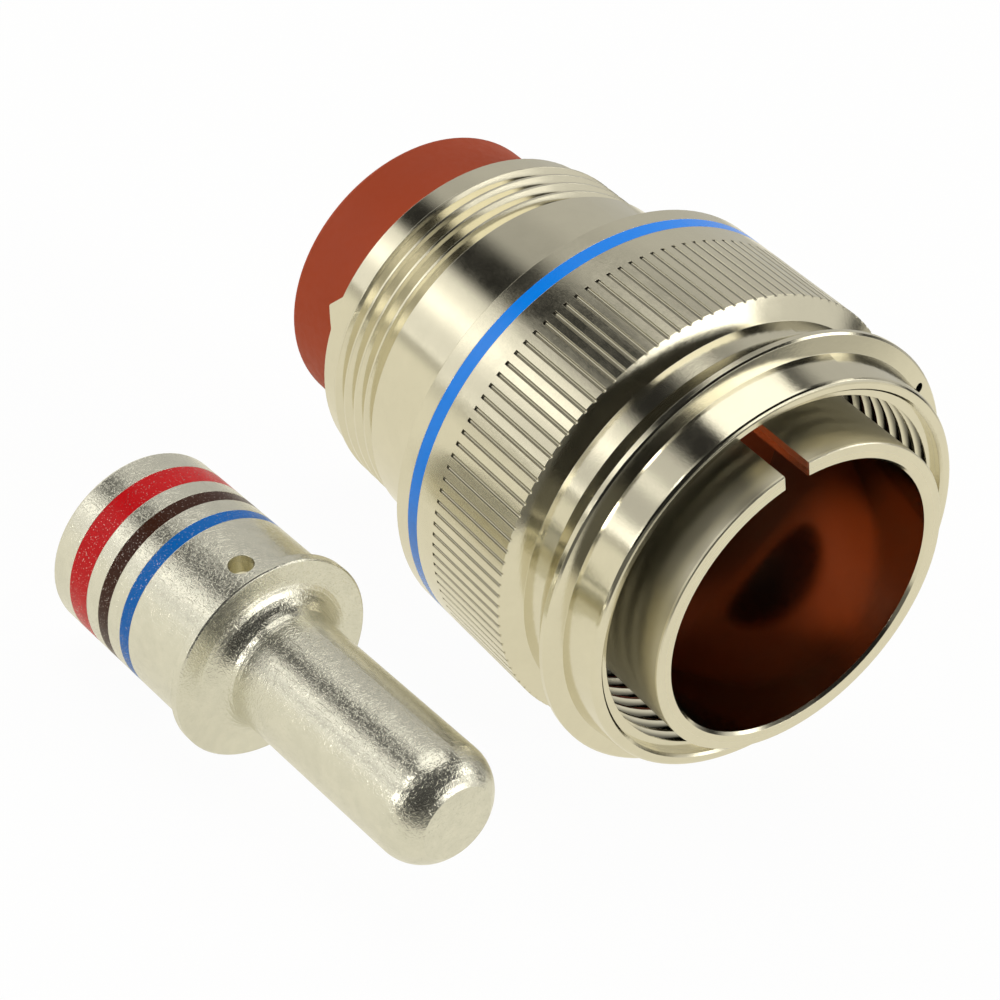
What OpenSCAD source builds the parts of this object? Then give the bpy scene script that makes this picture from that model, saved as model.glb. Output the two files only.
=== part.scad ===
// Circular plug connector with a threaded coupling nut, and its crimp contact lying beside it.
// Millimetres. X runs along the plug's axis to the mating face, Z is up, and the origin is the
// centre of the barrel's mating face. Places along the axis are negative towards the cable end.
// A clock angle is measured about the axis from straight up.

/* [Shell] */
// Outside diameter of the mating barrel
barrel_d = 26.6; // [26:0.1:27.6]
// Wall of the mating barrel
barrel_wall = 1.45; // [1.2:0.05:1.7]
// Depth of the barrel from its mating face to the interface seal
barrel_depth = 16.8; // [16.4:0.1:18]
// Length from the mating face to the rear rim
shell_len = 41.6; // [41:0.1:46]
// Rise of the smooth collar that the nut turns on over the barrel
collar_rise = 2; // [1.8:0.05:2.4]
// Bevel on the front edge of the barrel
barrel_bevel = 0.08; // [0.05:0.01:0.3]
// Bevel at the mouth of the barrel's bore
bore_bevel = 0.22; // [0.1:0.02:0.4]
// Width of the keyway in the barrel
keyway_w = 2.15; // [1.8:0.05:3]
// Length of the keyway
keyway_len = 11; // [6:0.5:13]
// Clock angle of the keyway
keyway_clock = 27.2; // [0:0.1:360]
// Rise of the flange that stops the nut over the collar
stop_flange_rise = 0.9; // [0.7:0.05:1.1]
// Thickness of that flange
stop_flange_t = 1.4; // [1:0.1:1.8]
// Distance of that flange behind the mating face
stop_flange_setback = 16; // [15:0.1:16.5]
// Step from the barrel's bore out to the bore that holds the inserts
insert_step = 0.9; // [0.7:0.05:1.1]

/* [Accessory thread] */
// Drop of the accessory thread's crests below the collar, which leaves the thread 30.16 across
accessory_drop = 0.22; // [0.15:0.01:0.3]
// Pitch of the accessory thread and the coupling thread
thread_pitch = 1.411; // [1.2:0.001:1.5]
// Depth of the accessory thread
accessory_depth = 0.85; // [0.6:0.05:0.9]
// Width of the accessory thread's crests
accessory_crest = 0.2; // [0.15:0.01:0.35]
// Width of the flat at the accessory thread's roots
accessory_root = 0.23; // [0.15:0.01:0.35]
// Thread grooves behind the collar
accessory_turns = 4; // [3:1:5]
// Length of the plain lead behind the accessory thread
lead_len = 2.2; // [1.5:0.1:3]
// Drop of the plain lead below the thread's crests
lead_drop = 0.48; // [0.2:0.02:0.6]
// Height of a locking tooth on the rear rim
tooth_h = 1.05; // [0.5:0.05:1.5]
// Width of a locking tooth at its root
tooth_w = 2.86; // [2:0.02:5]
// Distance of a locking tooth's peak from its middle
tooth_lean = 0.12; // [0:0.01:0.9]
// Width of the flat on a locking tooth's peak
tooth_peak = 0.12; // [0.08:0.01:0.2]
// Clock angle of the first locking tooth
tooth_clock = 84.2; // [0:0.1:360]
// Locking teeth, evenly spaced
tooth_count = 2; // [1:1:6]

/* [Coupling nut] */
// Wall of the nut from the collar out to the knurl, which makes the nut 37.4 across
nut_wall = 3.4; // [3.2:0.05:4]
// Distance of the nut's front behind the mating face
nut_setback = 2.8; // [2:0.05:4]
// Wall of the plain front band over the coupling thread
front_band_wall = 1.025; // [0.9:0.025:1.3]
// Length of the plain front band
front_band_len = 3.05; // [2.5:0.05:3.5]
// Rise of the front band's diameter towards the ridge
front_band_rise = 0.7; // [0:0.1:1]
// Length of the hollow between the front band and the ridge
ridge_step_len = 0.3; // [0.2:0.05:0.6]
// Width of the ridge
ridge_w = 0.55; // [0.3:0.05:1]
// Length of the flare behind the ridge
flare_len = 2.25; // [1.5:0.05:3]
// Drop of the waist below the knurl
waist_drop = 1.7; // [1.4:0.05:1.9]
// Length of the waist
waist_len = 2; // [1.5:0.1:2.5]
// Length of the shoulder between the waist and the knurl
shoulder_len = 0.88; // [0.5:0.02:1.5]
// Length of the knurl
knurl_len = 8.37; // [6:0.01:10]
// Grooves round the knurl
knurl_count = 118; // [60:1:130]
// Clock angle of the first knurl groove
knurl_clock = 1.6; // [0:0.1:6]
// Width of a knurl groove
knurl_w = 0.34; // [0.2:0.02:0.5]
// Depth of a knurl groove
knurl_depth = 0.15; // [0.1:0.01:0.25]
// Length of the plain band behind the knurl
rear_band_len = 5; // [4.5:0.1:7]
// Bevel on the nut's rear edge
rear_bevel = 0.25; // [0.1:0.05:0.5]
// Running clearance of the nut on the collar, on radius
nut_run_clear = 0.08; // [0.04:0.01:0.1]
// Free play of the nut along the shell, at each end
nut_play = 0.3; // [0.2:0.05:0.4]
// Rise of the coupling thread's roots over the collar, which makes the thread 31.75 across
coupling_rise = 0.575; // [0.45:0.025:0.6]
// Depth of the coupling thread
coupling_depth = 0.75; // [0.5:0.05:0.85]
// Width of the coupling thread's crests
coupling_crest = 0.28; // [0.15:0.01:0.4]
// Width of the coupling thread's roots
coupling_root = 0.23; // [0.1:0.01:0.4]
// Length of the plain mouth in front of the coupling thread
mouth_len = 0.75; // [0.5:0.05:1.5]
// Bevel round the nut's mouth
mouth_bevel = 0.2; // [0.1:0.05:0.4]
// Diameter of the lock wire hole
lock_hole_d = 0.8; // [0.7:0.1:1]
// Distance of the lock wire hole inside the ridge's edge
lock_hole_inset = 1; // [0.8:0.05:1.05]
// Clock angle of the lock wire hole
lock_hole_clock = -41; // [-180:0.5:180]
// Width of the blue band
blue_band_w = 1.2; // [0.8:0.1:1.6]
// Distance of the blue band behind the knurl
blue_band_setback = 2.07; // [1:0.01:3]
// Depth of the paint in its groove
paint_t = 0.12; // [0.08:0.01:0.2]

/* [Nut retention] */
// Thickness of the retaining ring
ring_t = 0.9; // [0.6:0.1:1]
// Radial width of the retaining ring
ring_w = 1.6; // [1.4:0.1:1.8]
// Opening of the retaining ring, in degrees
ring_gap = 24; // [10:1:60]
// Height over the waves of the wave washer
washer_h = 0.8; // [0.6:0.05:1]
// Thickness of the wave washer's strip
washer_t = 0.3; // [0.2:0.05:0.4]
// Waves round the washer
washer_waves = 3; // [2:1:5]
// Thickness of the main joint seal
joint_seal_t = 1.3; // [0.8:0.1:1.6]
// Radial width of the main joint seal
joint_seal_w = 1.5; // [1:0.1:1.6]

/* [Inserts] */
// Thickness of the interface seal
interface_t = 1.2; // [0.8:0.1:2]
// Length of the front insert
front_insert_len = 13; // [12:0.1:14]
// Distance of the rear insert's end inside the shell's rear rim
rear_insert_recess = 3.6; // [2:0.1:5]
// Length of the wire grommet outside the shell's rear rim
grommet_proud = 8.1; // [6:0.1:12]
// Rounding of the grommet's rear edge
grommet_round = 0.5; // [0.3:0.1:2]
// Diameter of the wire hole at the grommet's webs
wire_hole_d = 10.4; // [8:0.1:12]
// Sealing webs in the wire hole
web_count = 3; // [2:1:4]
// Depth of the hollows between the webs
web_depth = 1.5; // [0.5:0.1:2]
// Wall of the retention clip
clip_wall = 0.3; // [0.2:0.05:0.4]
// Slits in the retention clip
clip_slits = 6; // [3:1:8]
// Clearance of the inserts in the shell, on radius
insert_clear = 0.05; // [0.02:0.01:0.1]

/* [Contact] */
// Diameter of the contact's pin
pin_d = 9.07; // [8.5:0.01:9.4]
// Length of the pin from the contact's shoulder to its tip
pin_len = 20.6; // [19:0.05:21.5]
// Radius that rounds the tip
pin_tip_round = 3.2; // [2:0.1:4.2]
// Diameter of the flat at the tip
pin_flat_d = 5.7; // [4:0.1:6]
// Fillet at the pin's root
pin_fillet = 2; // [0.5:0.1:2.4]
// Rise of the contact's shoulder over the crimp barrel
shoulder_rise = 0.685; // [0.4:0.005:0.9]
// Thickness of the contact's shoulder
shoulder_t = 0.9; // [0.6:0.05:1.4]
// Diameter of the crimp barrel
crimp_d = 14.7; // [13.5:0.05:15]
// Length of the crimp barrel behind the shoulder
crimp_len = 16.05; // [14:0.05:18]
// Wall of the crimp barrel round the wire well
crimp_wall = 1.55; // [1.2:0.05:2]
// Distance of the wire well's floor behind the shoulder
well_floor = 1.05; // [0.8:0.05:2]
// Diameter of the inspection hole
inspection_d = 1.9; // [1:0.1:2.2]
// Distance of the inspection hole behind the shoulder
inspection_setback = 1.55; // [1.2:0.05:2.5]
// Clock angle of the inspection hole
inspection_clock = 22; // [-180:1:180]
// Distance of the red band from the contact's rear end
red_setback = 2.3; // [1:0.05:3]
// Width of the red band
red_w = 2.2; // [1:0.05:3]
// Gap between the red and the brown band
red_brown_gap = 1.5; // [0.5:0.05:2]
// Width of the brown band
brown_w = 1.25; // [0.8:0.05:2]
// Gap between the brown and the dark blue band
brown_blue_gap = 1.5; // [0.5:0.05:2]
// Width of the dark blue band
dark_blue_w = 1.15; // [0.8:0.05:2]
// Depth of the contact's seat in the front insert
seat_depth = 5.6; // [5:0.1:6.5]
// Place of the loose contact's shoulder along the plug's axis
loose_x = -15.8; // [-60:0.1:40]
// Place of the loose contact's shoulder beside the plug's axis
loose_y = -33.5; // [-80:0.1:-29]
// Turn of the loose contact from the plug's axis
loose_turn = 3.85; // [-20:0.05:20]

/* [Hidden] */
$fn = 128;
slit = 0.01;
cut = 1;

// Radii of the shell
barrel_r = barrel_d / 2;
mating_bore_r = barrel_r - barrel_wall;
collar_r = barrel_r + collar_rise;
stop_flange_r = collar_r + stop_flange_rise;
insert_bore_r = mating_bore_r + insert_step;
accessory_r = collar_r - accessory_drop;
lead_r = accessory_r - lead_drop;
insert_r = insert_bore_r - insert_clear;

// Stations along the shell
stop_flange_front = -stop_flange_setback;
stop_flange_rear = stop_flange_front - stop_flange_t;
rim_rear = -shell_len;
thread_rear = rim_rear + lead_len;
thread_front = thread_rear + accessory_crest / 2 + accessory_turns * thread_pitch;
interface_front = -barrel_depth;
interface_rear = interface_front - interface_t;
front_insert_rear = interface_rear - front_insert_len;
rear_insert_rear = rim_rear + rear_insert_recess;
grommet_rear = rim_rear - grommet_proud;

// Stations and radii of the nut
nut_r = collar_r + nut_wall;
coupling_r = collar_r + coupling_rise;
front_band_r = coupling_r + front_band_wall;
waist_r = nut_r - waist_drop;
nut_front = -nut_setback;
band_rear = nut_front - front_band_len;
ridge_front = band_rear - ridge_step_len;
ridge_rear = ridge_front - ridge_w;
waist_front = ridge_rear - flare_len;
waist_rear = waist_front - waist_len;
knurl_front = waist_rear - shoulder_len;
knurl_rear = knurl_front - knurl_len;
nut_rear = knurl_rear - rear_band_len;
blue_front = knurl_rear - blue_band_setback;
band_root_r = front_band_r + front_band_rise / 2;
ridge_edge = 0.15;
lip_round = 0.4;
nut_bore_r = collar_r + nut_run_clear;
coupling_minor_r = coupling_r - coupling_depth;
lock_hole_r = nut_r - lock_hole_inset;

// Stack that holds the nut on the shell
web_front = stop_flange_rear - washer_h - nut_play;
ring_rear = stop_flange_front + nut_play;
ring_front = ring_rear + ring_t;
ring_seat_clear = 0.05;
ring_hold = 0.9;
ring_seat_r = stop_flange_r + ring_hold;
ring_r = ring_seat_r - ring_seat_clear;
relief_clear = 0.4;
washer_bore_clear = 0.15;
washer_rim_clear = 0.1;
relief_r = stop_flange_r + relief_clear;
relief_land = 0.6;
relief_front = ring_front + relief_land;
mouth_rear = nut_front - mouth_len;
coupling_turns = floor((mouth_rear - relief_front) / thread_pitch);

// Contact, with its shoulder's front face at zero and its tip at plus
pin_r = pin_d / 2;
crimp_r = crimp_d / 2;
shoulder_r = crimp_r + shoulder_rise;
well_r = crimp_r - crimp_wall;
contact_rear = -shoulder_t - crimp_len;
crimp_round = 0.35;
shoulder_round = 0.12;
well_bevel = 0.4;
well_cone = 0.4;
well_front = -shoulder_t - well_floor;
red_rear = contact_rear + red_setback;
brown_rear = red_rear + red_w + red_brown_gap;
dark_blue_rear = brown_rear + brown_w + brown_blue_gap;
pin_flat_r = pin_flat_d / 2;
tip_angle = acos(1 - (pin_r - pin_flat_r) / pin_tip_round);
tip_start = pin_len - pin_tip_round * sin(tip_angle);

// The loose contact lies on its shoulder and the rear edge of its crimp barrel
loose_span = crimp_len - crimp_round + shoulder_round;
loose_tilt = atan((shoulder_r - crimp_r) / loose_span);
floor_z = -nut_r;
loose_z = floor_z + shoulder_r * cos(loose_tilt) + (shoulder_t - shoulder_round) * sin(loose_tilt);

// Cavity that the contact goes into
cavity_clear = 0.25;
shoulder_seat = interface_rear - seat_depth;
pin_hole_clear = 0.15;
pin_hole_r = pin_r + pin_hole_clear;
cavity_r = shoulder_r + cavity_clear;
clip_step = 1.2;
clip_r = cavity_r + clip_step;
clip_pocket_r = clip_r + insert_clear;
clip_gap = 0.35;
clip_tip = shoulder_seat - shoulder_t - clip_gap;
clip_tip_room = 0.2;
clip_pocket_front = clip_tip + clip_tip_room;
clip_tip_r = crimp_r + cavity_clear;
clip_sleeve_len = 2;
clip_slit_w = 0.8;
barrel_end_room = 0.4;
grommet_pocket_rear = min(rear_insert_rear, shoulder_seat + contact_rear) - barrel_end_room;

// Points of an arc about a centre, from one angle to another
function arc(centre, radius, from, to, steps = 8) =
    [for (i = [0 : steps]) let (a = from + (to - from) * i / steps)
        centre + radius * [cos(a), sin(a)]];

// Section of one groove of the coupling thread, a vee with a narrow flat at its root
function coupling_groove(front) = [
    [coupling_minor_r - cut, front - coupling_crest / 2],
    [coupling_minor_r, front - coupling_crest / 2],
    [coupling_r, front - (thread_pitch - coupling_root) / 2],
    [coupling_r, front - (thread_pitch + coupling_root) / 2],
    [coupling_minor_r, front - thread_pitch + coupling_crest / 2],
    [coupling_minor_r - cut, front - thread_pitch + coupling_crest / 2]
];

// Section of one groove of the accessory thread, a vee with a narrow flat at its root
function accessory_groove(front) = [
    [accessory_r + cut, front - accessory_crest / 2],
    [accessory_r, front - accessory_crest / 2],
    [accessory_r - accessory_depth, front - (thread_pitch - accessory_root) / 2],
    [accessory_r - accessory_depth, front - (thread_pitch + accessory_root) / 2],
    [accessory_r, front - thread_pitch + accessory_crest / 2],
    [accessory_r + cut, front - thread_pitch + accessory_crest / 2]
];

// Turns a shape made along Z so that it lies along the plug's axis, with its X side up
module along_axis() {
    rotate([0, 90, 0]) rotate([0, 0, 180]) children();
}

// A plain ring between two stations
module ring(inner, outer, rear, front) {
    translate([0, 0, rear]) difference() {
        cylinder(r = outer, h = front - rear);
        translate([0, 0, -cut]) cylinder(r = inner, h = front - rear + 2 * cut);
    }
}

// Puts a shape made along the contact's own axis where the loose contact lies
module loose_place() {
    translate([loose_x, loose_y, loose_z])
        rotate([0, 0, loose_turn]) rotate([0, -loose_tilt, 0]) along_axis() children();
}

// Outline of a locking tooth, whose flanks run on a little past its root and its peak
function tooth_outline() = let (
    over = tooth_peak * tooth_h / tooth_w / 4,
    left = (tooth_w / 2 - tooth_lean - tooth_peak / 2) / tooth_h,
    right = (tooth_w / 2 + tooth_lean - tooth_peak / 2) / tooth_h
) [
    [over, -tooth_w / 2 - over * left],
    [-tooth_h - over, -tooth_lean - tooth_peak / 2 + over * left],
    [-tooth_h - over, -tooth_lean + tooth_peak / 2 - over * right],
    [over, tooth_w / 2 + over * right]
];

// What is cut from the rear rim so that its locking teeth stand
module rim_clearing() {
    difference() {
        ring(insert_bore_r - cut, lead_r + cut, rim_rear - tooth_h - cut, rim_rear);
        for (i = [0 : tooth_count - 1])
            rotate([0, 0, tooth_clock + i * 360 / tooth_count]) translate([lead_r + 2 * cut, 0, rim_rear])
                rotate([0, -90, 0]) linear_extrude(lead_r) polygon(tooth_outline());
    }
}

module accessory_grooves() {
    for (i = [0 : accessory_turns - 1])
        rotate_extrude() polygon(accessory_groove(thread_front - i * thread_pitch));
}

module shell_body() {
    tooth_rear = rim_rear - tooth_h;
    rotate_extrude() polygon([
        [mating_bore_r, -bore_bevel], [mating_bore_r + bore_bevel, 0],
        [barrel_r - barrel_bevel, 0], [barrel_r, -barrel_bevel],
        [barrel_r, stop_flange_front], [stop_flange_r, stop_flange_front],
        [stop_flange_r, stop_flange_rear], [collar_r, stop_flange_rear],
        [collar_r, thread_front], [accessory_r, thread_front],
        [accessory_r, thread_rear], [lead_r, thread_rear],
        [lead_r, tooth_rear], [insert_bore_r, tooth_rear],
        [insert_bore_r, interface_front], [mating_bore_r, interface_front]
    ]);
}

module plug_shell() color("#d8d0b4") along_axis() difference() {
    shell_body();
    accessory_grooves();
    rotate([0, 0, keyway_clock]) translate([0, -keyway_w / 2, -keyway_len])
        cube([barrel_d, keyway_w, keyway_len + cut]);
    rim_clearing();
}

// Soft facing on the front insert, dished round the pin hole
module interface_seal() color("#5a1f10") along_axis() {
    dish = 2.4;
    rotate_extrude() polygon([
        [pin_hole_r, interface_rear], [insert_r, interface_rear], [insert_r, interface_front],
        [pin_hole_r + dish, interface_front], [pin_hole_r, interface_front - interface_t / 2]
    ]);
}

module front_insert() color("#4a1a10") along_axis() rotate_extrude() polygon([
    [pin_hole_r, interface_rear], [insert_r, interface_rear], [insert_r, front_insert_rear],
    [clip_pocket_r, front_insert_rear], [clip_pocket_r, clip_pocket_front],
    [cavity_r, clip_pocket_front], [cavity_r, shoulder_seat], [pin_hole_r, shoulder_seat]
]);

// Sprung fingers that snap in behind the contact's shoulder
module retention_clip() color("#c9b27a") along_axis() difference() {
    sleeve_front = front_insert_rear + clip_sleeve_len;
    rotate_extrude() polygon([
        [clip_r - clip_wall, front_insert_rear], [clip_r, front_insert_rear], [clip_r, sleeve_front],
        [clip_tip_r + clip_wall, clip_tip], [clip_tip_r, clip_tip], [clip_r - clip_wall, sleeve_front]
    ]);
    for (i = [0 : clip_slits - 1])
        rotate([0, 0, i * 360 / clip_slits]) translate([0, -clip_slit_w / 2, sleeve_front])
            cube([clip_r + cut, clip_slit_w, clip_tip - sleeve_front + cut]);
}

module rear_insert() color("#4a1a10") along_axis()
    ring(cavity_r, insert_r, rear_insert_rear, front_insert_rear);

// Hollow between two sealing webs, with sloping sides
module web_hollow(hole_r, width) {
    slope = web_depth / 3;
    rotate_extrude() polygon([
        [hole_r - cut, -width / 2], [hole_r + web_depth, -width / 2 + slope],
        [hole_r + web_depth, width / 2 - slope], [hole_r - cut, width / 2]
    ]);
}

// Rubber plug with a pocket for the crimp barrel's end and sealing webs round the wire
module wire_grommet() color("#96452a") along_axis() {
    hole_r = wire_hole_d / 2;
    grommet_r = insert_r - insert_clear;
    web_pitch = (grommet_pocket_rear - grommet_rear) / web_count;
    difference() {
        rotate_extrude() polygon(concat(
            [[hole_r, grommet_pocket_rear], [cavity_r, grommet_pocket_rear],
             [cavity_r, rear_insert_rear], [grommet_r, rear_insert_rear]],
            arc([grommet_r - grommet_round, grommet_rear + grommet_round], grommet_round, 0, -90),
            [[hole_r, grommet_rear]]
        ));
        for (i = [1 : web_count - 1])
            translate([0, 0, grommet_rear + web_pitch * i]) web_hollow(hole_r, web_pitch / 2);
    }
}

module main_joint_seal() color("#8a3c24") along_axis()
    ring(barrel_r + insert_clear, barrel_r + joint_seal_w,
         stop_flange_front, stop_flange_front + joint_seal_t);

// Sprung strip that rises and falls round the collar, between the shell's flange and the nut
module wave_washer() {
    steps = 24 * washer_waves;
    inner = collar_r + washer_bore_clear;
    outer = stop_flange_r - washer_rim_clear;
    swing = (washer_h - washer_t) / 2;
    function lift(a) = stop_flange_rear - washer_t / 2 - swing + swing * cos(a * washer_waves);
    function corner(a, r, dz) = [r * cos(a), r * sin(a), lift(a) + dz];
    section = [[inner, -washer_t / 2], [outer, -washer_t / 2], [outer, washer_t / 2], [inner, washer_t / 2]];
    points = [for (i = [0 : steps - 1], c = section) corner(i * 360 / steps, c[0], c[1])];
    faces = [for (i = [0 : steps - 1], k = [0 : 3])
        let (a = i * 4, b = (i + 1) % steps * 4, m = (k + 1) % 4) [a + k, a + m, b + m, b + k]];
    color("#b9b7a8") along_axis() polyhedron(points, faces);
}

// Outside of the nut from its mouth to its rear edge
function nut_outside() = concat(
    arc([front_band_r - lip_round, nut_front - lip_round], lip_round, 90, 0, 4),
    [[band_root_r, band_rear]],
    [[nut_r - ridge_edge, ridge_front], [nut_r, ridge_front - ridge_edge], [nut_r, ridge_rear],
     [waist_r, waist_front], [waist_r, waist_rear], [nut_r, knurl_front],
     [nut_r, nut_rear + rear_bevel], [nut_r - rear_bevel, nut_rear]]
);

// Inside of the nut from its rear edge to its mouth
function nut_inside() = [
    [nut_bore_r, nut_rear], [nut_bore_r, web_front], [relief_r, web_front], [relief_r, relief_front],
    [coupling_minor_r, relief_front], [coupling_minor_r, mouth_rear],
    [coupling_r, mouth_rear], [coupling_r, nut_front - mouth_bevel], [coupling_r + mouth_bevel, nut_front]
];

// Round-bottomed grooves of the knurl
module knurl_grooves() {
    groove_r = (pow(knurl_w / 2, 2) + pow(knurl_depth, 2)) / (2 * knurl_depth);
    translate([0, 0, knurl_rear]) linear_extrude(knurl_len + shoulder_len) for (i = [0 : knurl_count - 1])
        rotate(knurl_clock + i * 360 / knurl_count) translate([nut_r - knurl_depth + groove_r, 0]) circle(groove_r);
}

module coupling_nut() color("#d8d0b4") along_axis() difference() {
    rotate_extrude() polygon(concat(nut_outside(), nut_inside()));
    for (i = [0 : coupling_turns - 1])
        rotate_extrude() polygon(coupling_groove(mouth_rear - i * thread_pitch));
    ring(relief_r - cut, ring_seat_r, ring_rear - ring_seat_clear, ring_front + ring_seat_clear);
    ring(nut_r - paint_t, nut_r + cut, blue_front - blue_band_w, blue_front);
    knurl_grooves();
    rotate([0, 0, lock_hole_clock]) translate([lock_hole_r, 0, waist_front])
        cylinder(d = lock_hole_d, h = band_rear - waist_front);
}

// Open ring sprung into the nut's seat, in front of the shell's flange
module nut_retaining_ring() color("#a9a793") along_axis()
    rotate([0, 0, ring_gap / 2]) rotate_extrude(angle = 360 - ring_gap)
        translate([ring_r - ring_w, ring_rear]) square([ring_w, ring_t]);

module nut_blue_band() color("#1f7dff") along_axis()
    ring(nut_r - paint_t + slit, nut_r, blue_front - blue_band_w + slit, blue_front - slit);

module pin_contact() color("#cfcdc4") loose_place() difference() {
    rotate_extrude() polygon(concat(
        [[0, contact_rear]],
        arc([crimp_r - crimp_round, contact_rear + crimp_round], crimp_round, -90, 0, 4),
        [[crimp_r, -shoulder_t], [shoulder_r - shoulder_round, -shoulder_t],
         [shoulder_r, -shoulder_t + shoulder_round], [shoulder_r, -shoulder_round],
         [shoulder_r - shoulder_round, 0]],
        arc([pin_r + pin_fillet, pin_fillet], pin_fillet, 270, 180),
        arc([pin_r - pin_tip_round, tip_start], pin_tip_round, 0, tip_angle),
        [[0, pin_len]]
    ));
    rotate_extrude() polygon([
        [0, contact_rear - cut], [well_r + well_bevel, contact_rear - cut],
        [well_r + well_bevel, contact_rear], [well_r, contact_rear + well_bevel],
        [well_r, well_front - well_cone], [0, well_front]
    ]);
    rotate([0, 0, inspection_clock]) translate([0, 0, -shoulder_t - inspection_setback]) rotate([0, 90, 0])
        cylinder(d = inspection_d, h = crimp_d);
    for (b = [[red_rear, red_w], [brown_rear, brown_w], [dark_blue_rear, dark_blue_w]])
        ring(crimp_r - paint_t, crimp_r + cut, b[0], b[0] + b[1]);
}

// Paint in one shallow groove of the crimp barrel
module contact_band(rear, width) {
    loose_place() ring(crimp_r - paint_t + slit, crimp_r, rear + slit, rear + width - slit);
}

module contact_red_band() color("#b4151b") contact_band(red_rear, red_w);
module contact_brown_band() color("#2c1a10") contact_band(brown_rear, brown_w);
module contact_blue_band() color("#14509c") contact_band(dark_blue_rear, dark_blue_w);

plug_shell();
interface_seal();
front_insert();
retention_clip();
rear_insert();
wire_grommet();
main_joint_seal();
wave_washer();
coupling_nut();
nut_retaining_ring();
nut_blue_band();
pin_contact();
contact_red_band();
contact_brown_band();
contact_blue_band();
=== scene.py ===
"""Looks of the circular plug connector and its loose contact: camera, studio and materials."""
import math
from collections import namedtuple

import bpy
from mathutils import Matrix, Vector


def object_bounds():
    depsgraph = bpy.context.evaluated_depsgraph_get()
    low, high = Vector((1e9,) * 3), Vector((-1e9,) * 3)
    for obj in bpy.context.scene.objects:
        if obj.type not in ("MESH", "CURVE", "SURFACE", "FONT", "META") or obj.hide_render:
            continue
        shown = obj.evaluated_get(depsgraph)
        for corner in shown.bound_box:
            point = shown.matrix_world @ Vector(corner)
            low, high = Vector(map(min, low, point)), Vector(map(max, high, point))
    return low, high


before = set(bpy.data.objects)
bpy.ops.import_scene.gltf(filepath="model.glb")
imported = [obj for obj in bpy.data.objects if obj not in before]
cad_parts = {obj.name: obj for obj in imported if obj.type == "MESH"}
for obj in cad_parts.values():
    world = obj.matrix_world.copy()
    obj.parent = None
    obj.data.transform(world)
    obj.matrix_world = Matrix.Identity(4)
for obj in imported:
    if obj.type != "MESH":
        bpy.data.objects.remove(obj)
cad_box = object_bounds()

MM = 0.001

# Camera, worked out from the circles of the plug and the contact in the photograph
CAMERA_PLACE = Vector((103.2569, -137.5565, 90.0424)) * MM
CAMERA_RIGHT = Vector((0.5760087507, 0.7704700828, 0.2731112788))
CAMERA_UP = Vector((-0.5314355317, 0.0990923047, 0.8412829434))
CAMERA_LENS = 95.862
CAMERA_SENSOR = 36.0
CAMERA_NEAREST = 1.0 * MM
CAMERA_FURTHEST = 20.0

# Where the loose contact lies, as in the solids: its shoulder's front face and its turn and tilt
CONTACT_PLACE = Vector((-15.8, -33.5, -10.6388)) * MM
CONTACT_TURN = math.radians(3.85)
CONTACT_TILT = math.radians(2.4793)

# Places along and across the contact and the plug that their finish follows, fitted to the solids
WELL_FRONT = -1.5 * MM
WELL_WALL = 5.85 * MM
BARREL_REAR = -17.0 * MM
BARREL_BORE = 12.5 * MM
BARREL_INSIDE = 12.6 * MM
BARREL_BEVEL = 0.25 * MM
MOUTH_REAR = -3.55 * MM
THREAD_CREST = 15.125 * MM
THREAD_ROOT = 15.875 * MM
KNURL_FRONT = -11.9 * MM
KNURL_REAR = -20.3 * MM
LOCK_HOLE_PLACE = Vector((0.0, 11.612, 13.358)) * MM
LOCK_HOLE_WALL = 0.41 * MM
FLARE_REAR = -9.2 * MM
FLARE_FRONT = -5.4 * MM
EDGE_ROOM = 0.05 * MM

# Painted shade in the grooves, deeper with depth, and how polish and painted shade change over the nut and
# the mating barrel
THREAD_PAINTED_SHADE_DEPTH = 0.4 * MM
KNURL_PAINTED_SHADE_STARTS = 18.69 * MM
KNURL_PAINTED_SHADE_FULL = 18.61 * MM
KNURL_PAINTED_SHADE = 0.5
FRONT_POLISH = 0.7
FRONT_POLISH_STEP = 0.3 * MM
PAINTED_SHADE_INSIDE = 0.6
PAINTED_SHADE_OUTSIDE = 0.32
OUTSIDE_DULLNESS = 0.17

# Change of the turning marks for a radian round the axis, as a distance, small so that they run round it
MARK_DRIFT = 0.6 * MM

# Scratches of the tumbled contact: how they run, and how often they change along and across, per metre
SCRATCH_LEANS = (
    (1.0, 0.2, 0.1),
    (0.3, 1.0, 0.4),
    (-0.4, 0.6, 1.0),
    (0.7, -0.5, 0.6),
    (0.5, 0.7, -0.8),
)
SCRATCH_LENGTHWISE = 900.0
SCRATCH_CROSSWISE = 6500.0

# Edges rounded in the shading
PLATED_EDGE = 0.04 * MM
SILVER_EDGE = 0.1 * MM
EDGE_SAMPLES = 6

# Metals as they reflect, the pale colour painted into the silver's well as painted light, and the silver's
# metallic share outside and how much less of it in the well
NICKEL = (0.77, 0.73, 0.58, 1.0)
SILVER = (0.75, 0.735, 0.63, 1.0)
SILVER_PAINTED_LIGHT_IN_WELL = (0.99, 0.95, 0.76, 1.0)
SILVER_FLAKE = (0.8, 0.7, 0.65, 1.0)
SPRING_STEEL = (0.60, 0.58, 0.52, 1.0)
DARK_COPPER = (0.06, 0.04, 0.025, 1.0)
SILVER_METALLIC = 0.93
WELL_LESS_METALLIC = 0.35

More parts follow.
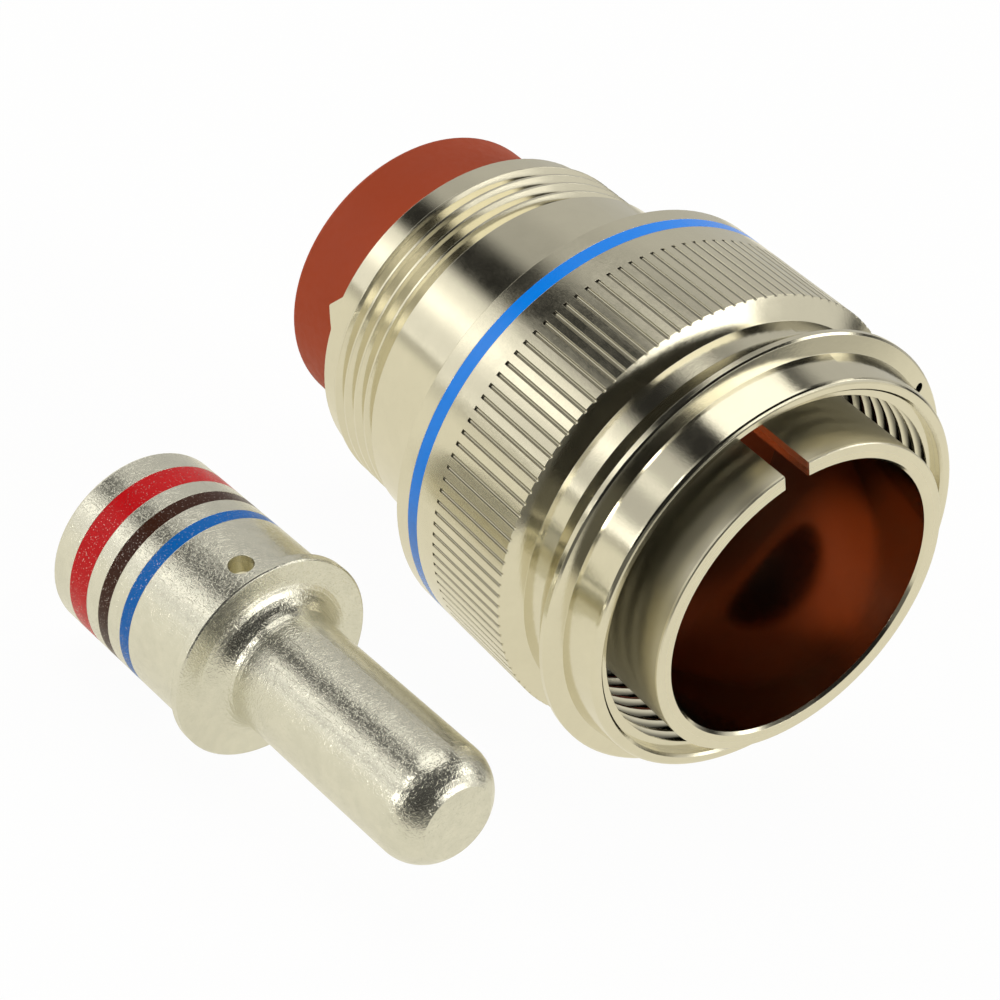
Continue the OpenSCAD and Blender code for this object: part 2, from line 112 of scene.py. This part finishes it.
# The floor, and how metal sees it: bright round its middle, dimmer far off, and dark in front of the plug
DarkSide = namedtuple("DarkSide", "x y starts full")
WHITE = (1.0, 1.0, 1.0, 1.0)
FLOOR_HALF = 3.0
FLOOR_PAPER = (0.9, 0.9, 0.88, 1.0)
FLOOR_SEEN_WHITE = 0.96
FLOOR_WARM = (1.0, 0.96, 0.82, 1.0)
FLOOR_MIRRORED_WARM = 0.9
FLOOR_MIDDLE = Vector((-20.0, -5.0, 0.0)) * MM
FLOOR_NEAR = 150.0 * MM
FLOOR_FAR = 400.0 * MM
FLOOR_NEAR_LIGHT = 0.92
FLOOR_FAR_LIGHT = 0.5
FLOOR_DARK_LIGHT = 0.08
FLOOR_DARK_SIDES = (
    DarkSide(x=0.70, y=-0.71, starts=20.0 * MM, full=38.0 * MM),
    DarkSide(x=0.95, y=-0.3, starts=30.0 * MM, full=42.0 * MM),
)

# Before the mouth the floor throws little light back, so that the barrel stays dark inside
MOUTH_PAPER = (0.12, 0.12, 0.12, 1.0)
MOUTH_PAPER_STARTS = 0.0
MOUTH_PAPER_FULL = 20.0 * MM

# The studio's round lamps and soft panels. Angles are in degrees, with azimuth from +X towards +Y
Disc = namedtuple("Disc", "azimuth height size soft strength")
Panel = namedtuple("Panel", "azimuth half_width low high soft strength slope")
STUDIO_COLOUR = (1.0, 0.98, 0.92, 1.0)
STUDIO_BASE = 0.018
STUDIO_MATT_GAIN = 0.55
STUDIO_DISCS = (
    Disc(azimuth=-175.0, height=76.0, size=22.5, soft=3.0, strength=1.5),
    Disc(azimuth=-98.0, height=37.0, size=6.0, soft=2.0, strength=5.0),
    Disc(azimuth=-93.0, height=6.0, size=7.0, soft=2.0, strength=5.0),
    Disc(azimuth=62.0, height=39.0, size=12.0, soft=4.0, strength=2.4),
)
STUDIO_PANELS = (
    Panel(azimuth=-118.0, half_width=30.0, low=21.0, high=43.0, soft=5.0, strength=0.65, slope=0.41),
    Panel(azimuth=-108.0, half_width=22.0, low=-5.0, high=8.0, soft=4.0, strength=1.0, slope=0.28),
    Panel(azimuth=-125.0, half_width=30.0, low=-8.0, high=26.0, soft=5.0, strength=0.58, slope=0.2),
    Panel(azimuth=-143.0, half_width=14.0, low=-20.0, high=31.0, soft=4.0, strength=0.45, slope=0.0),
    Panel(azimuth=140.0, half_width=56.0, low=-20.0, high=51.0, soft=8.0, strength=0.55, slope=0.0),
    Panel(azimuth=180.0, half_width=22.0, low=-20.0, high=12.0, soft=4.0, strength=1.1, slope=0.0),
)

# In front on the right, metal sees two panels, and matt surfaces mostly one strong lamp
FRONT_BROAD_PANEL = Panel(
    azimuth=38.0, half_width=32.0, low=-20.0, high=36.0, soft=4.0, strength=0.75, slope=0.0)
FRONT_BRIGHT_PANEL = Panel(
    azimuth=23.0, half_width=16.0, low=5.0, high=24.0, soft=4.0, strength=1.1, slope=0.0)
FRONT_MATT_SHARE = 0.15
FRONT_LAMP = Disc(azimuth=25.0, height=17.0, size=8.0, soft=2.0, strength=25.0)

# Hidden from mirror reflections, because the photograph's metal shows next to nothing of their colours
UNMIRRORED_NODES = (
    "contact_red_band",
    "contact_brown_band",
    "contact_blue_band",
    "nut_blue_band",
    "wire_grommet",
)

# Sockets of the colour mix node, which share their names
MIX_FACTOR = 0
MIX_FIRST = 6
MIX_SECOND = 7
MIX_RESULT = 2


class Graph:
    """A node tree with short calls for the nodes that the materials use."""

    def __init__(self, tree):
        self.tree = tree
        tree.nodes.clear()

    def node(self, kind, inputs=(), **settings):
        made = self.tree.nodes.new(kind)
        for name, value in settings.items():
            setattr(made, name, value)
        for key, value in dict(inputs).items():
            self.feed(made.inputs[key], value)
        return made

    def feed(self, socket, value):
        if isinstance(value, bpy.types.NodeSocket):
            self.tree.links.new(value, socket)
        else:
            socket.default_value = value

    def math(self, operation, *values):
        return self.node("ShaderNodeMath", dict(enumerate(values)), operation=operation).outputs[0]

    def product(self, first, *others):
        for other in others:
            first = self.math("MULTIPLY", first, other)
        return first

    def vector(self, operation, *values):
        made = self.node("ShaderNodeVectorMath", dict(enumerate(values)), operation=operation)
        return made.outputs["Value" if operation in ("DOT_PRODUCT", "LENGTH") else "Vector"]

    def combine(self, x, y, z):
        return self.node("ShaderNodeCombineXYZ", {0: x, 1: y, 2: z}).outputs[0]

    def separate(self, vector):
        return self.node("ShaderNodeSeparateXYZ", {0: vector}).outputs

    def ramp(self, value, low, high, out_low=0.0, out_high=1.0):
        """A smooth change from one value to another, and no change beyond."""
        made = self.node(
            "ShaderNodeMapRange",
            {"Value": value, "From Min": low, "From Max": high, "To Min": out_low, "To Max": out_high},
            interpolation_type="SMOOTHSTEP",
        )
        return made.outputs[0]

    def between(self, value, low, high):
        """One where a value lies between two others, else zero."""
        return self.product(self.math("GREATER_THAN", value, low), self.math("LESS_THAN", value, high))

    def noise(self, vector, scale, detail, roughness=0.5):
        made = self.node(
            "ShaderNodeTexNoise",
            {"Vector": vector, "Scale": scale, "Detail": detail, "Roughness": roughness},
        )
        return made.outputs["Fac"]

    def mix_colour(self, factor, first, second):
        inputs = {MIX_FACTOR: factor, MIX_FIRST: first, MIX_SECOND: second}
        return self.node("ShaderNodeMix", inputs, data_type="RGBA").outputs[MIX_RESULT]

    def mix_shader(self, factor, first, second):
        return self.node("ShaderNodeMixShader", {0: factor, 1: first, 2: second}).outputs[0]

    def glow(self, kind, colour, strength):
        return self.node(kind, {"Color": colour, "Strength": strength}).outputs[0]

    def bevel(self, radius):
        return self.node("ShaderNodeBevel", {"Radius": radius}, samples=EDGE_SAMPLES).outputs[0]

    def bump(self, height, strength, distance, normal=None):
        inputs = {"Height": height, "Strength": strength, "Distance": distance}
        if normal is not None:
            inputs["Normal"] = normal
        return self.node("ShaderNodeBump", inputs).outputs[0]

    def point(self):
        return self.node("ShaderNodeTexCoord").outputs["Object"]


def linear(red, green, blue):
    """A colour given as it shows on screen, from 0 to 255."""
    def channel(c):
        c /= 255.0
        return c / 12.92 if c <= 0.04045 else ((c + 0.055) / 1.055) ** 2.4
    return (channel(red), channel(green), channel(blue), 1.0)


def shaded(colour, share):
    """A colour made darker."""
    return tuple(share * c for c in colour[:3]) + (1.0,)


def new_material(name):
    material = bpy.data.materials.new(name)
    material.use_nodes = True
    graph = Graph(material.node_tree)
    shader = graph.node("ShaderNodeBsdfPrincipled")
    graph.node("ShaderNodeOutputMaterial", {"Surface": shader.outputs[0]})
    return material, graph, shader


def turned_coordinates(graph, place=(0.0, 0.0, 0.0), turn=0.0, tilt=0.0):
    """Distance along a piece's own axis, and the two distances across it."""
    to_local = (Matrix.Rotation(turn, 3, "Z") @ Matrix.Rotation(-tilt, 3, "Y")).inverted()
    moved = graph.vector("SUBTRACT", graph.point(), place)
    return [graph.vector("DOT_PRODUCT", moved, axis) for axis in to_local]


def nut_finish(graph, along, radius, polish):
    """The nut's polish, brighter in front of the knurl, and the shade painted into its thread, knurl and
    lock hole.
    """
    # Painted shade down the thread's flanks, in the knurl's grooves and in the lock hole
    thread = graph.product(
        graph.ramp(radius, THREAD_CREST + EDGE_ROOM, THREAD_CREST + THREAD_PAINTED_SHADE_DEPTH),
        graph.math("LESS_THAN", radius, THREAD_ROOT + EDGE_ROOM),
        graph.math("LESS_THAN", along, MOUTH_REAR - EDGE_ROOM),
    )
    knurl = graph.product(
        graph.ramp(radius, KNURL_PAINTED_SHADE_FULL, KNURL_PAINTED_SHADE_STARTS, out_low=KNURL_PAINTED_SHADE, out_high=0.0),
        graph.between(along, KNURL_REAR, KNURL_FRONT),
    )
    from_hole = graph.vector("SUBTRACT", graph.point(), LOCK_HOLE_PLACE)
    beside_hole = graph.vector("LENGTH", graph.vector("MULTIPLY", from_hole, (0.0, 1.0, 1.0)))
    hole = graph.product(
        graph.math("LESS_THAN", beside_hole, LOCK_HOLE_WALL),
        graph.between(along, FLARE_REAR, FLARE_FRONT),
    )
    shade = graph.math("ADD", graph.math("ADD", thread, knurl), hole)
    front_full = KNURL_FRONT + FRONT_POLISH_STEP
    front = graph.ramp(along, KNURL_FRONT, front_full, out_low=1.0, out_high=FRONT_POLISH)
    return graph.product(polish, front), shade


def shell_finish(graph, along, radius, polish):
    """The shell's polish, duller on the outside of the mating barrel, and the shade painted on both its
    sides.
    """
    barrel = graph.math("GREATER_THAN", along, BARREL_REAR)
    outside = graph.product(barrel, graph.math("GREATER_THAN", radius, BARREL_INSIDE))
    # Painted shade on the mating barrel: darker inside its bore, and less on its outside
    barrel_painted_shade = graph.product(
        barrel,
        graph.ramp(radius, BARREL_BORE, BARREL_INSIDE, out_low=PAINTED_SHADE_INSIDE, out_high=PAINTED_SHADE_OUTSIDE),
        graph.math("LESS_THAN", along, -BARREL_BEVEL),
    )
    return graph.math("ADD", polish, graph.product(outside, OUTSIDE_DULLNESS)), barrel_painted_shade


def plated_metal(name, colour, roughness, turning, grain, finish=None, painted_shade_share=0.3):
    """Satin plating over turned metal, with turning marks, a slightly grainy surface, and painted shade in
    grooves and hollows where the finish asks for it.
    """
    material, graph, shader = new_material(name)
    along, across, up = turned_coordinates(graph)
    radius = graph.vector("LENGTH", graph.combine(across, up, 0.0))
    round_axis = graph.product(graph.math("ARCTAN2", across, up), MARK_DRIFT)
    point = graph.point()
    marks = graph.noise(graph.combine(along, radius, round_axis), scale=7000.0, detail=4.0, roughness=0.7)
    specks = graph.noise(point, scale=5200.0, detail=3.0, roughness=0.65)
    cloud = graph.noise(point, scale=420.0, detail=4.0, roughness=0.65)
    dents = graph.noise(point, scale=1500.0, detail=3.0, roughness=0.6)
    normal = graph.bump(dents, strength=grain * 0.5, distance=0.012 * MM, normal=graph.bevel(PLATED_EDGE))
    normal = graph.bump(marks, strength=turning, distance=0.004 * MM, normal=normal)
    normal = graph.bump(specks, strength=grain, distance=0.006 * MM, normal=normal)
    shade = graph.mix_colour(cloud, colour, shaded(colour, 0.9))
    uneven = graph.math("ADD", specks, cloud)
    polish = graph.ramp(uneven, low=0.7, high=1.3, out_low=roughness * 0.8, out_high=roughness * 1.25)
    if finish is not None:
        polish, painted_shade_mask = finish(graph, along, radius, polish)
        # Painted shade: the colour darkened where the finish's mask is high
        shade = graph.mix_colour(painted_shade_mask, shade, shaded(colour, painted_shade_share))
    shader.inputs["Metallic"].default_value = 1.0
    graph.feed(shader.inputs["Base Color"], shade)
    graph.feed(shader.inputs["Roughness"], polish)
    graph.feed(shader.inputs["Normal"], normal)
    return material


def scratches(graph, point):
    """Fine short scratches in several directions."""
    total = None
    for lean in SCRATCH_LEANS:
        ahead = Vector(lean).normalized()
        aside = ahead.orthogonal().normalized()
        across = ahead.cross(aside)
        place = graph.combine(
            graph.vector("DOT_PRODUCT", point, ahead * SCRATCH_LENGTHWISE),
            graph.vector("DOT_PRODUCT", point, aside * SCRATCH_CROSSWISE),
            graph.vector("DOT_PRODUCT", point, across * SCRATCH_CROSSWISE),
        )
        line = graph.ramp(graph.noise(place, scale=1.0, detail=1.0), low=0.58, high=0.74)
        total = line if total is None else graph.math("MAXIMUM", total, line)
    return total


def tumbled_silver(name, colour, roughness):
    """Silver plate with the fine crossing scratches of a tumbled part, and painted light that makes its
    well paler and brighter.
    """
    material, graph, shader = new_material(name)
    along, across, up = turned_coordinates(graph, CONTACT_PLACE, CONTACT_TURN, CONTACT_TILT)
    radius = graph.vector("LENGTH", graph.combine(across, up, 0.0))
    point = graph.point()
    grain = graph.noise(point, scale=4200.0, detail=3.0, roughness=0.6)
    dents = graph.noise(point, scale=900.0, detail=3.0, roughness=0.55)
    normal = graph.bump(dents, strength=0.25, distance=0.012 * MM, normal=graph.bevel(SILVER_EDGE))
    normal = graph.bump(grain, strength=0.06, distance=0.006 * MM, normal=normal)
    normal = graph.bump(scratches(graph, point), strength=0.8, distance=0.012 * MM, normal=normal)
    # Painted light: the well's inside gets a paler colour and less metallic share, so it shows brighter
    in_well = graph.product(
        graph.math("LESS_THAN", radius, WELL_WALL), graph.math("LESS_THAN", along, WELL_FRONT))
    shade = graph.mix_colour(graph.ramp(dents, low=0.3, high=0.7), shaded(colour, 0.94), colour)
    shade = graph.mix_colour(in_well, shade, SILVER_PAINTED_LIGHT_IN_WELL)
    metallic = graph.math("SUBTRACT", SILVER_METALLIC, graph.product(in_well, WELL_LESS_METALLIC))
    polish = graph.ramp(grain, low=0.3, high=0.7, out_low=roughness * 1.1, out_high=roughness * 0.9)
    graph.feed(shader.inputs["Metallic"], metallic)
    graph.feed(shader.inputs["Base Color"], shade)
    graph.feed(shader.inputs["Roughness"], polish)
    graph.feed(shader.inputs["Normal"], normal)
    return material


def sparkling_ink(name, colour):
    """Ink on the contact through which grains of the silver sparkle."""
    material, graph, shader = new_material(name)
    point = graph.point()
    grain = graph.noise(point, scale=8200.0, detail=1.0)
    cloud = graph.noise(point, scale=700.0, detail=3.0, roughness=0.55)
    flake = graph.ramp(grain, low=0.66, high=0.7)
    paint = graph.mix_colour(cloud, colour, shaded(colour, 0.8))
    bright = graph.mix_colour(0.5, paint, SILVER_FLAKE)
    polish = graph.ramp(cloud, low=0.3, high=0.7, out_low=0.24, out_high=0.34)
    shader.inputs["Specular IOR Level"].default_value = 0.12
    graph.feed(shader.inputs["Base Color"], graph.mix_colour(flake, paint, bright))
    graph.feed(shader.inputs["Metallic"], flake)
    graph.feed(shader.inputs["Roughness"], polish)
    graph.feed(shader.inputs["Normal"], graph.bump(grain, strength=0.7, distance=0.02 * MM))
    return material


def plain_surface(name, colour, roughness, grain_scale, grain_depth, spread=0.12, gloss=0.5):
    """Rubber, plastic or paint with a slight unevenness of colour and surface."""
    material, graph, shader = new_material(name)
    point = graph.point()
    cloud = graph.noise(point, scale=180.0, detail=3.0, roughness=0.55)
    grain = graph.noise(point, scale=grain_scale, detail=3.0, roughness=0.6)
    polish = graph.ramp(grain, low=0.3, high=0.7, out_low=roughness * 0.9, out_high=roughness * 1.1)
    shader.inputs["Specular IOR Level"].default_value = gloss
    graph.feed(shader.inputs["Base Color"], graph.mix_colour(cloud, colour, shaded(colour, 1.0 - spread)))
    graph.feed(shader.inputs["Roughness"], polish)
    graph.feed(shader.inputs["Normal"], graph.bump(grain, strength=0.4, distance=grain_depth))
    return material


def dress(material, *nodes):
    """Gives CAD nodes a material in place of their plain one."""
    for name in nodes:
        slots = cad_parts[name].data.materials
        slots.clear()
        slots.append(material)


def dress_all():
    dress(
        plated_metal("nickel_shell", NICKEL, roughness=0.13, turning=0.2, grain=0.1, finish=shell_finish),
        "plug_shell",
    )
    dress(
        plated_metal(
            "nickel_nut", NICKEL, roughness=0.17, turning=0.35, grain=0.35,
            finish=nut_finish, painted_shade_share=0.2),
        "coupling_nut",
    )
    dress(tumbled_silver("silver_contact", SILVER, roughness=0.23), "pin_contact")
    dress(sparkling_ink("red_ink", linear(205, 18, 26)), "contact_red_band")
    dress(sparkling_ink("brown_ink", linear(62, 32, 20)), "contact_brown_band")
    dress(sparkling_ink("dark_blue_ink", linear(8, 104, 190)), "contact_blue_band")
    dress(
        plain_surface(
            "bright_blue_paint", linear(0, 138, 255), roughness=0.22,
            grain_scale=1800.0, grain_depth=0.002 * MM, spread=0.04, gloss=0.35),
        "nut_blue_band",
    )
    dress(
        plain_surface(
            "grommet_silicone", linear(166, 64, 29), roughness=0.55,
            grain_scale=1400.0, grain_depth=0.012 * MM, spread=0.1, gloss=0.18),
        "wire_grommet",
    )
    dress(
        plain_surface(
            "seal_silicone", linear(150, 62, 36), roughness=0.6,
            grain_scale=900.0, grain_depth=0.02 * MM),
        "main_joint_seal",
    )
    dress(
        plain_surface(
            "interface_silicone", linear(196, 80, 26), roughness=0.5,
            grain_scale=900.0, grain_depth=0.02 * MM),
        "interface_seal",
    )
    dress(
        plain_surface(
            "insert_resin", linear(60, 22, 14), roughness=0.35,
            grain_scale=700.0, grain_depth=0.01 * MM),
        "front_insert", "rear_insert",
    )
    dress(
        plated_metal("spring_steel", SPRING_STEEL, roughness=0.25, turning=0.3, grain=0.2),
        "wave_washer", "nut_retaining_ring",
    )
    dress(
        plated_metal("clip_copper", DARK_COPPER, roughness=0.35, turning=0.2, grain=0.2),
        "retention_clip",
    )


def make_camera():
    data = bpy.data.cameras.new("photo_camera")
    data.lens = CAMERA_LENS
    data.sensor_width = CAMERA_SENSOR
    data.clip_start = CAMERA_NEAREST
    data.clip_end = CAMERA_FURTHEST
    camera = bpy.data.objects.new("photo_camera", data)
    bpy.context.scene.collection.objects.link(camera)
    back = CAMERA_RIGHT.cross(CAMERA_UP)
    turn = Matrix((CAMERA_RIGHT, CAMERA_UP, back)).transposed().to_4x4()
    camera.matrix_world = Matrix.Translation(CAMERA_PLACE) @ turn
    bpy.context.scene.camera = camera


def floor_material():
    """White paper with a faint shadow for the camera, and a warm patch of light for metal."""
    material = bpy.data.materials.new("white_floor")
    material.use_nodes = True
    material.cycles.emission_sampling = "NONE"
    graph = Graph(material.node_tree)
    rays = graph.node("ShaderNodeLightPath").outputs
    x, y = graph.separate(graph.point())[:2]
    from_middle = graph.vector("SUBTRACT", graph.combine(x, y, 0.0), FLOOR_MIDDLE)
    away = graph.vector("LENGTH", from_middle)
    near = graph.ramp(away, FLOOR_NEAR, FLOOR_FAR, out_low=FLOOR_NEAR_LIGHT, out_high=FLOOR_FAR_LIGHT)
    sides = []
    for side in FLOOR_DARK_SIDES:
        towards = graph.math("ADD", graph.product(x, side.x), graph.product(y, side.y))
        sides.append(graph.ramp(towards, side.starts, side.full, out_low=1.0, out_high=FLOOR_DARK_LIGHT))
    dark_side = graph.math("MAXIMUM", *sides)
    before = graph.product(rays["Is Diffuse Ray"], graph.ramp(x, MOUTH_PAPER_STARTS, MOUTH_PAPER_FULL))
    tint = graph.mix_colour(before, FLOOR_PAPER, MOUTH_PAPER)
    paper = graph.node("ShaderNodeBsdfDiffuse", {"Color": tint}).outputs[0]
    white = graph.glow("ShaderNodeEmission", WHITE, 1.0)
    warm = graph.glow("ShaderNodeEmission", FLOOR_WARM, graph.product(near, dark_side))
    mirrored = graph.mix_shader(FLOOR_MIRRORED_WARM, paper, warm)
    seen = graph.mix_shader(FLOOR_SEEN_WHITE, paper, white)
    surface = graph.mix_shader(rays["Is Glossy Ray"], paper, mirrored)
    surface = graph.mix_shader(rays["Is Camera Ray"], surface, seen)
    graph.node("ShaderNodeOutputMaterial", {"Surface": surface})
    return material


def make_floor():
    height = cad_box[0][2]
    corners = [
        (-FLOOR_HALF, -FLOOR_HALF, height),
        (FLOOR_HALF, -FLOOR_HALF, height),
        (FLOOR_HALF, FLOOR_HALF, height),
        (-FLOOR_HALF, FLOOR_HALF, height),
    ]
    mesh = bpy.data.meshes.new("floor")
    mesh.from_pydata(corners, [], [(0, 1, 2, 3)])
    mesh.materials.append(floor_material())
    floor = bpy.data.objects.new("floor", mesh)
    bpy.context.scene.collection.objects.link(floor)


def make_studio():
    """A studio of lamps and soft panels round the object, which the camera itself sees as plain white."""
    world = bpy.data.worlds.new("studio")
    bpy.context.scene.world = world
    world.use_nodes = True
    graph = Graph(world.node_tree)
    direction = graph.vector("NORMALIZE", graph.node("ShaderNodeTexCoord").outputs["Generated"])
    x, y, z = graph.separate(direction)
    elevation = graph.math("DEGREES", graph.math("ARCSINE", z))

    def panel_light(panel):
        """Light from a soft-edged panel round one azimuth, between two elevations that may slope."""
        a = math.radians(panel.azimuth)
        ahead = graph.math("ADD", graph.product(x, math.cos(a)), graph.product(y, math.sin(a)))
        aside = graph.math("SUBTRACT", graph.product(y, math.cos(a)), graph.product(x, math.sin(a)))
        off = graph.math("DEGREES", graph.math("ARCTAN2", aside, ahead))
        level = graph.math("SUBTRACT", elevation, graph.product(off, panel.slope))
        inner = panel.half_width - panel.soft
        outer = panel.half_width + panel.soft
        across = graph.ramp(graph.math("ABSOLUTE", off), inner, outer, out_low=1.0, out_high=0.0)
        above = graph.ramp(level, panel.low - panel.soft, panel.low + panel.soft)
        below = graph.ramp(
            level, panel.high - panel.soft, panel.high + panel.soft, out_low=1.0, out_high=0.0)
        return graph.product(across, above, below, panel.strength)

    def disc_light(disc):
        """Light from a soft-edged round lamp."""
        a = math.radians(disc.azimuth)
        e = math.radians(disc.height)
        middle = (math.cos(a) * math.cos(e), math.sin(a) * math.cos(e), math.sin(e))
        off = graph.math("DEGREES", graph.math("ARCCOSINE", graph.vector("DOT_PRODUCT", direction, middle)))
        inner = disc.size - disc.soft
        outer = disc.size + disc.soft
        return graph.ramp(off, inner, outer, out_low=disc.strength, out_high=0.0)

    rays = graph.node("ShaderNodeLightPath").outputs
    glossy = rays["Is Glossy Ray"]
    matt = graph.math("SUBTRACT", 1.0, glossy)
    total = STUDIO_BASE
    for disc in STUDIO_DISCS:
        total = graph.math("ADD", total, disc_light(disc))
    for panel in STUDIO_PANELS:
        total = graph.math("ADD", total, panel_light(panel))
    total = graph.product(total, graph.math("ADD", 1.0, graph.product(matt, STUDIO_MATT_GAIN)))
    front = graph.math("ADD", panel_light(FRONT_BROAD_PANEL), panel_light(FRONT_BRIGHT_PANEL))
    front_share = graph.math("ADD", FRONT_MATT_SHARE, graph.product(glossy, 1.0 - FRONT_MATT_SHARE))
    front = graph.product(front, front_share)
    lamp = graph.product(disc_light(FRONT_LAMP), matt)
    total = graph.math("ADD", total, graph.math("ADD", front, lamp))
    light = graph.glow("ShaderNodeBackground", STUDIO_COLOUR, total)
    white = graph.glow("ShaderNodeBackground", WHITE, 1.0)
    surface = graph.mix_shader(rays["Is Camera Ray"], light, white)
    graph.node("ShaderNodeOutputWorld", {"Surface": surface})


dress_all()
make_camera()
make_floor()
make_studio()
for name in UNMIRRORED_NODES:
    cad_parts[name].visible_glossy = False
bpy.context.scene.view_settings.view_transform = "Standard"
